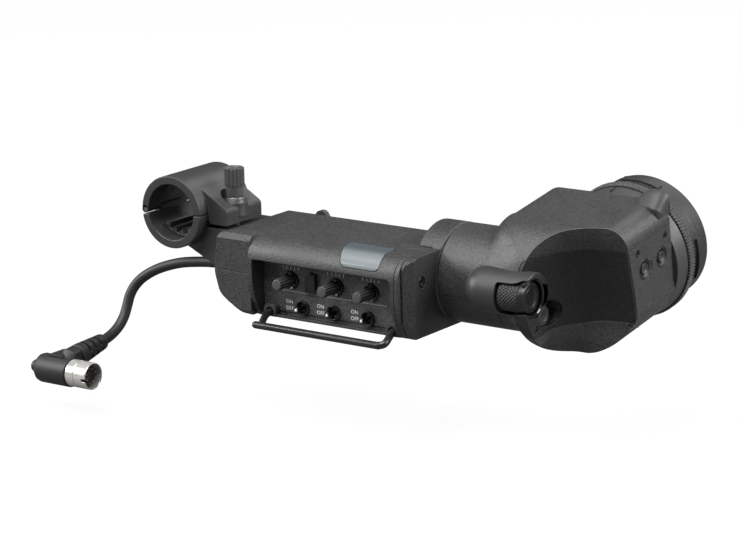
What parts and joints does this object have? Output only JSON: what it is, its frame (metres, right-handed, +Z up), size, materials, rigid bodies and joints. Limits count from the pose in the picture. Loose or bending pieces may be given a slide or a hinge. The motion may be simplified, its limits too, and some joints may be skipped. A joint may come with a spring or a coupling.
{
  "type": "electronic viewfinder",
  "caption": "Tilting electronic viewfinder for a shoulder camera: control body with a split rail clamp, tilting eyepiece head, guard bar and a short cable with a plug.",
  "frame": {"origin": "centre of the rail clamp's bore, half way along it", "axes": "+X from the clamp along the body to the head, +Y the way the eyepiece looks out, along the clamp's bore, +Z up"},
  "size_m": [0.2869, 0.1486, 0.1035],
  "materials": {
    "charcoal_shell": "fine-textured",
    "end_plate": "fine-textured",
    "head_shell": "fine-textured",
    "front_cover": "fine-textured",
    "side_panel": "fine-textured",
    "dial_pod": "fine-textured",
    "control_panel": "fine-textured",
    "tally_window": "translucent, satin",
    "knob": "satin",
    "toggle_lever": "dark chrome",
    "button": "satin",
    "menu_dial": "satin",
    "guard_bar": "satin black",
    "clamp_casting": "black, fine-textured coating",
    "clamp_grip": "matte",
    "thumbscrew": "satin",
    "cable_jacket": "matte",
    "nickel": "bright nickel plate",
    "plug_insert": "matte",
    "black_screw": "satin black",
    "steel": "brushed",
    "circuit_board": "satin",
    "eyepiece_base": "grey coating, satin",
    "focus_ring": "fluted",
    "eyepiece_ring": "black coating, satin",
    "lens_cell": "matte",
    "glass": "clear",
    "display": "polished"
  },
  "bodies": {
    "body": {"body_shell": "charcoal_shell", "tally_window": "tally_window", "tally_board": "circuit_board", "rear_cover": "charcoal_shell", "main_board": "circuit_board", "rear_screw": "black_screw", "end_plate": "end_plate", "end_screw": "black_screw", "left_cap": "charcoal_shell", "control_panel": "control_panel", "control_board": "circuit_board", "peaking_potentiometer": "steel", "contrast_potentiometer": "steel", "brightness_potentiometer": "steel", "display_switch": "steel", "zebra_switch": "steel", "tally_switch": "steel", "guard_bar": "guard_bar", "clamp_arm": "clamp_casting", "jaw_pin": "steel", "lower_grip": "clamp_grip", "cord_gland": "cable_jacket", "cord": "cable_jacket", "strain_relief": "cable_jacket", "plug_body": "cable_jacket", "plug_shell": "nickel", "plug_insert": "plug_insert", "tilt_washer": "steel"},
    "jaw": {"clamp_jaw": "clamp_casting", "upper_grip": "clamp_grip", "thumbscrew_washer": "steel"},
    "thumbscrew": {"thumbscrew": "thumbscrew"},
    "peaking_knob": {"peaking_knob": "knob"},
    "contrast_knob": {"contrast_knob": "knob"},
    "brightness_knob": {"brightness_knob": "knob"},
    "display_toggle": {"display_toggle": "toggle_lever"},
    "zebra_toggle": {"zebra_toggle": "toggle_lever"},
    "tally_toggle": {"tally_toggle": "toggle_lever"},
    "head": {"head_housing": "head_shell", "neck_cover": "head_shell", "front_cover": "front_cover", "side_panel": "side_panel", "dial_pod": "dial_pod", "tilt_shaft": "steel", "tilt_ring": "steel", "eyepiece_base": "eyepiece_base", "eyepiece_ring": "eyepiece_ring", "display_panel": "display", "display_holder": "lens_cell", "head_board": "circuit_board"},
    "assign_button_1": {"assign_button_1": "button"},
    "assign_button_2": {"assign_button_2": "button"},
    "dial_carrier": {"dial_carrier": "steel"},
    "menu_dial": {"menu_dial": "menu_dial"},
    "menu_button": {"menu_button": "button"},
    "focus_ring": {"focus_ring": "focus_ring"},
    "lens_cell": {"lens_cell": "lens_cell", "front_lens": "glass", "rear_lens": "glass"},
    "lock_ring": {"lock_ring": "eyepiece_ring"}
  },
  "joints": [
    {"name": "head_tilt", "type": "hinge", "parent": "body", "child": "head", "pos_m": [0.1346, 0.0236, -0.0198], "axis": [1, 0, 0], "range_deg": [-60, 120]},
    {"name": "thumbscrew_turn", "type": "hinge", "parent": "jaw", "child": "thumbscrew", "pos_m": [0.0228, 0.0006, 0.0162], "axis": [0, 0, 1], "range_deg": [0, 300]},
    {"name": "jaw_swing", "type": "hinge", "parent": "body", "child": "jaw", "pos_m": [-0.0151, 0, 0], "axis": [0, -1, 0], "range_deg": [0, 1]},
    {"name": "peaking_knob_turn", "type": "hinge", "parent": "body", "child": "peaking_knob", "pos_m": [0.0634, -0.0174, -0.0252], "axis": [0, 1, 0], "range_deg": [-150, 150]},
    {"name": "contrast_knob_turn", "type": "hinge", "parent": "body", "child": "contrast_knob", "pos_m": [0.0885, -0.0174, -0.0252], "axis": [0, 1, 0], "range_deg": [-150, 150]},
    {"name": "brightness_knob_turn", "type": "hinge", "parent": "body", "child": "brightness_knob", "pos_m": [0.1078, -0.0174, -0.0252], "axis": [0, 1, 0], "range_deg": [-150, 150]},
    {"name": "display_toggle_throw", "type": "hinge", "parent": "body", "child": "display_toggle", "pos_m": [0.0697, -0.0094, -0.0374], "axis": [1, 0, 0], "range_deg": [-13, 13]},
    {"name": "zebra_toggle_throw", "type": "hinge", "parent": "body", "child": "zebra_toggle", "pos_m": [0.087, -0.0094, -0.0374], "axis": [1, 0, 0], "range_deg": [-13, 13]},
    {"name": "tally_toggle_throw", "type": "hinge", "parent": "body", "child": "tally_toggle", "pos_m": [0.1059, -0.0094, -0.0374], "axis": [1, 0, 0], "range_deg": [-13, 13]},
    {"name": "assign_button_1_press", "type": "slide", "parent": "head", "child": "assign_button_1", "axis": [-1, 0, 0], "range_m": [0, 0.0008], "stiffness_N_per_m": 400},
    {"name": "assign_button_2_press", "type": "slide", "parent": "head", "child": "assign_button_2", "axis": [-1, 0, 0], "range_m": [0, 0.0008], "stiffness_N_per_m": 400},
    {"name": "menu_button_press", "type": "slide", "parent": "head", "child": "menu_button", "axis": [-1, 0, 0], "range_m": [0, 0.0008], "stiffness_N_per_m": 400},
    {"name": "menu_dial_press", "type": "slide", "parent": "head", "child": "dial_carrier", "axis": [0, 0.9877, 0.1564], "range_m": [0, 0.0008], "stiffness_N_per_m": 600},
    {"name": "menu_dial_turn", "type": "hinge", "parent": "dial_carrier", "child": "menu_dial", "pos_m": [0.1776, 0.00025, -0.02005], "axis": [1, 0, 0], "continuous": true},
    {"name": "focus_ring_turn", "type": "hinge", "parent": "head", "child": "focus_ring", "pos_m": [0.19085, 0.07355, -0.01297], "axis": [0, 0.9877, 0.1564], "range_deg": [-60, 60]},
    {"name": "lens_cell_travel", "type": "slide", "parent": "head", "child": "lens_cell", "axis": [0, 0.9877, 0.1564], "range_m": [-0.002, 0.002]},
    {"name": "lock_ring_turn", "type": "hinge", "parent": "head", "child": "lock_ring", "pos_m": [0.19085, 0.08007, -0.01194], "axis": [0, 0.9877, 0.1564], "range_deg": [0, 25]}
  ],
  "couplings": [
    {"joint": "jaw_swing", "follows": "thumbscrew_turn", "ratio": 0.00333},
    {"joint": "lens_cell_travel", "follows": "focus_ring_turn", "m_per_rad": 0.00191}
  ]
}
